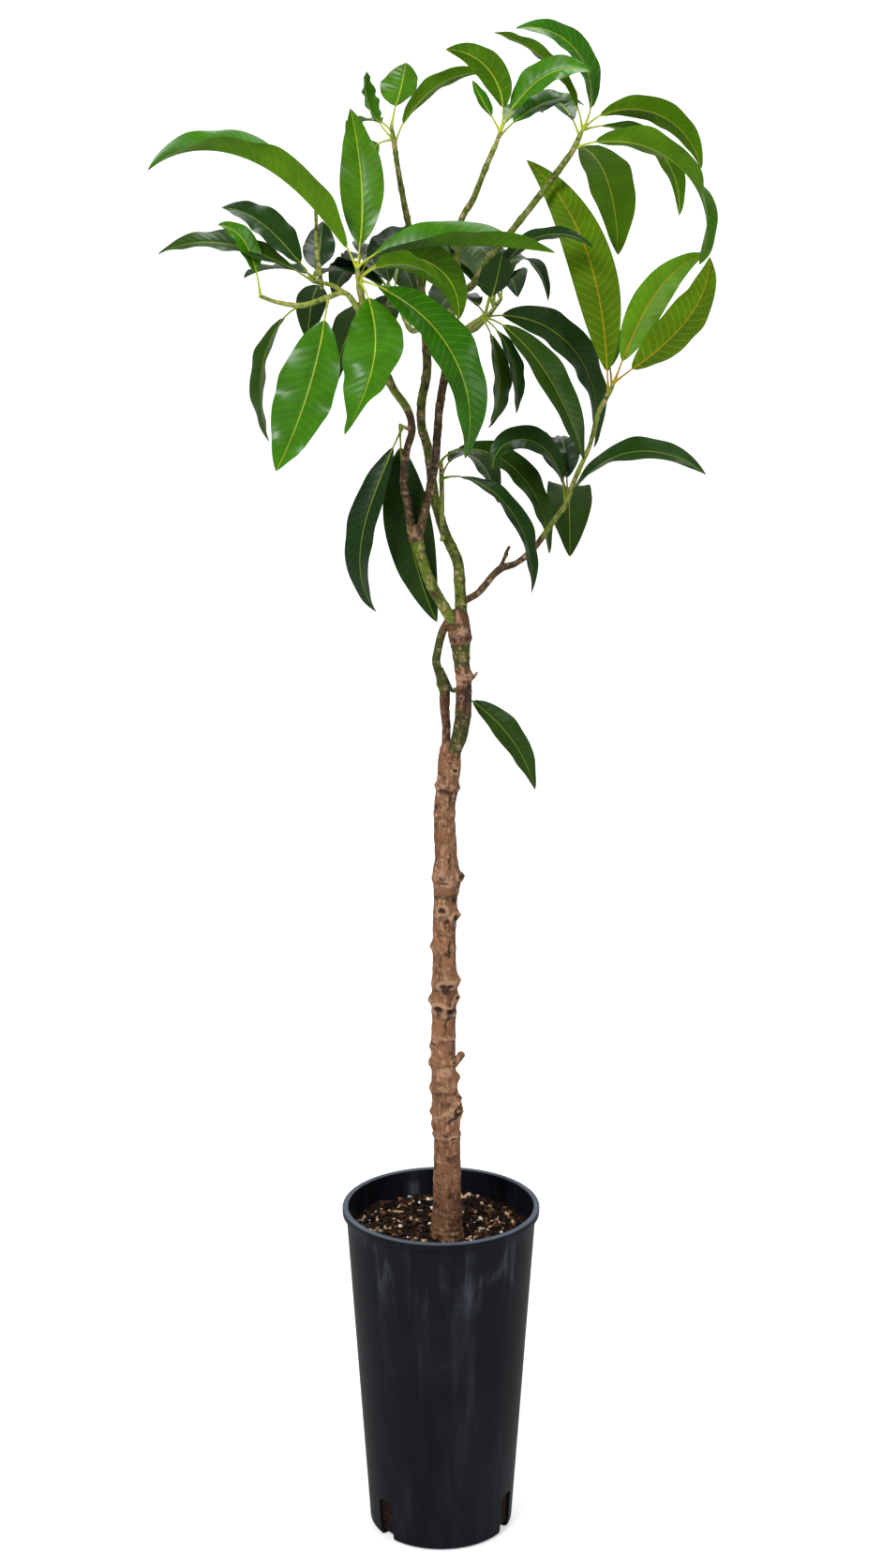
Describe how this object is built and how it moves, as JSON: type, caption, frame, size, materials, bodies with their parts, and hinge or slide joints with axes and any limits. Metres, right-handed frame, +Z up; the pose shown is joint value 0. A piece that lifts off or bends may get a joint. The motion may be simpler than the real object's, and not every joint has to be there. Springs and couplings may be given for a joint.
{
  "type": "crop plant",
  "caption": "Young potted mango tree: slim knobbly trunk, forked boughs and whorls of long drooping leaves, in a tall round nursery pot.",
  "frame": {"origin": "middle of the pot's flat underside, on the ground", "axes": "+Z up along the trunk; +X to the right of the plant seen from its best side; +Y away from there"},
  "size_m": [0.596, 0.4157, 1.7258],
  "materials": {
    "bark": "rough, pinkish brown with old leaf scars",
    "green_bark": "smooth young green bark",
    "pot_plastic": "satin black, scuffed",
    "potting_mix": "loose, dark, matt",
    "fresh_leaf": "glossy, bright green",
    "young_leaf": "satin, light yellow green",
    "mature_leaf": "glossy, dark green"
  },
  "bodies": {
    "root": {"pot": "pot_plastic", "potting_mix": "potting_mix", "trunk": "bark", "right_leader": "bark", "left_leader": "green_bark", "left_bough": "green_bark", "inner_bough": "green_bark", "right_bough": "bark", "crown_bough": "green_bark", "centre_bough": "bark", "top_right_bough": "green_bark", "right_shoot": "green_bark", "left_crown_leaves": "fresh_leaf", "left_cluster_leaves": "mature_leaf", "top_left_leaves": "fresh_leaf", "top_centre_leaves": "fresh_leaf", "top_right_leaves": "fresh_leaf", "centre_leaves": "mature_leaf", "right_whorl_leaves": "mature_leaf", "young_leaves": "young_leaf", "inner_leaves": "mature_leaf", "lower_left_leaves": "mature_leaf", "lone_leaf": "mature_leaf", "rear_left_leaves": "mature_leaf", "rear_right_leaves": "mature_leaf"}
  },
  "joints": []
}
